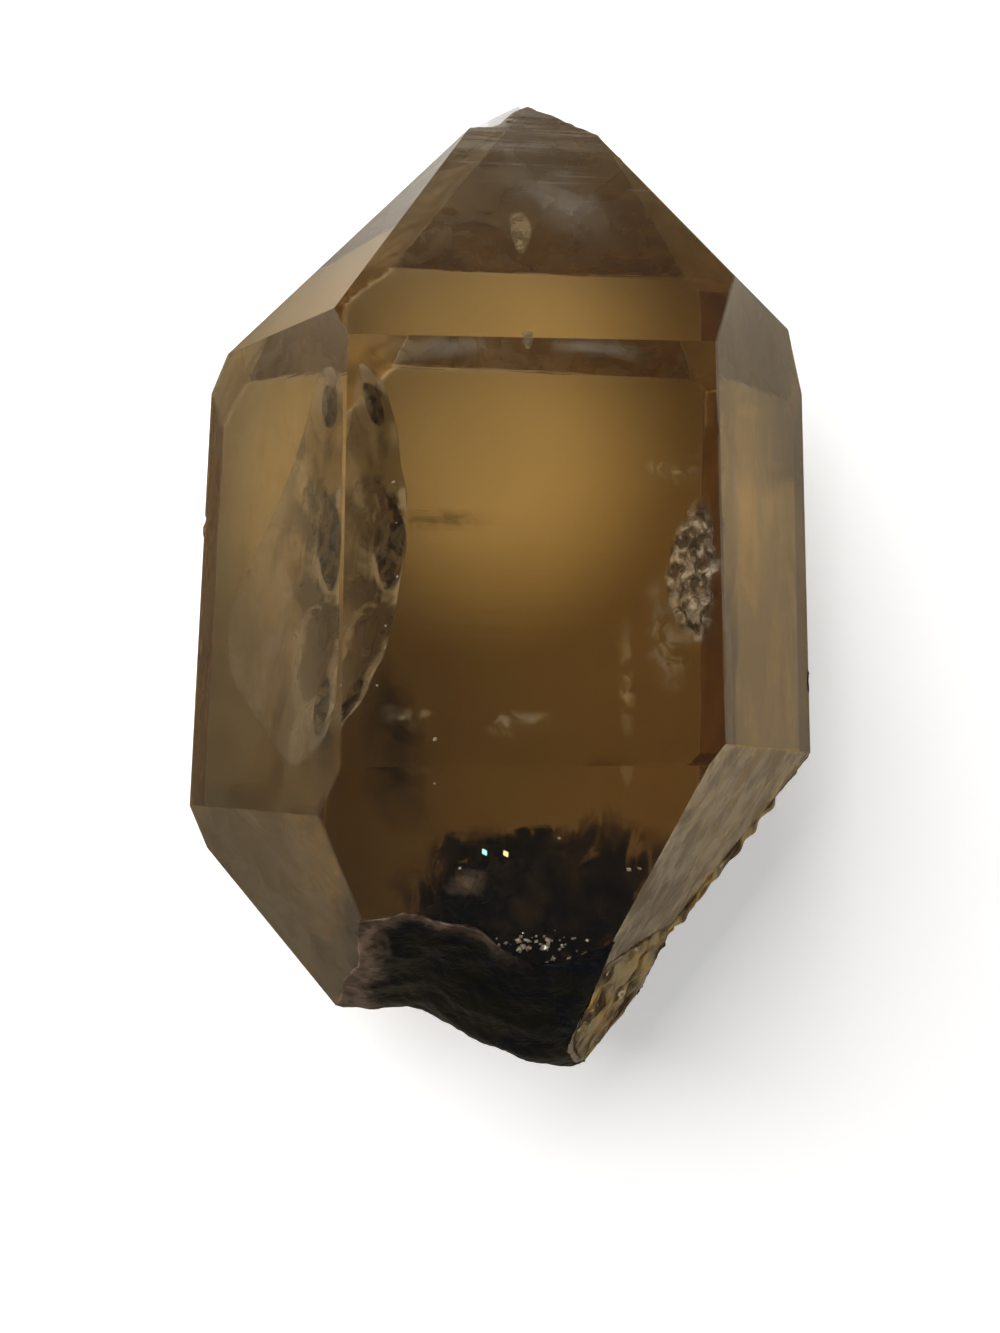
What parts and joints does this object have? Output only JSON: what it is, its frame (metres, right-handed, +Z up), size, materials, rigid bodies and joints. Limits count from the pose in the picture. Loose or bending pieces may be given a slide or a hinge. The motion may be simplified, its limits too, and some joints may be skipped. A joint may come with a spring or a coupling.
{
  "type": "citrine crystal point",
  "caption": "Single smoky-gold citrine quartz crystal: six-sided prism with a pointed upper end and a rough broken lower end, lying on one of its flat prism faces.",
  "frame": {"origin": "middle of the footprint, on the surface the crystal rests on", "axes": "+Y along the c axis towards the point, +Z up, square to the prism face it rests on, +X to the right seen from above with the point away"},
  "size_m": [0.0388, 0.0604, 0.0281],
  "materials": {
    "citrine": "clear smoky-gold quartz with growth lines, healed fractures and a rough dark break"
  },
  "bodies": {
    "root": {"crystal": "citrine"}
  },
  "joints": []
}
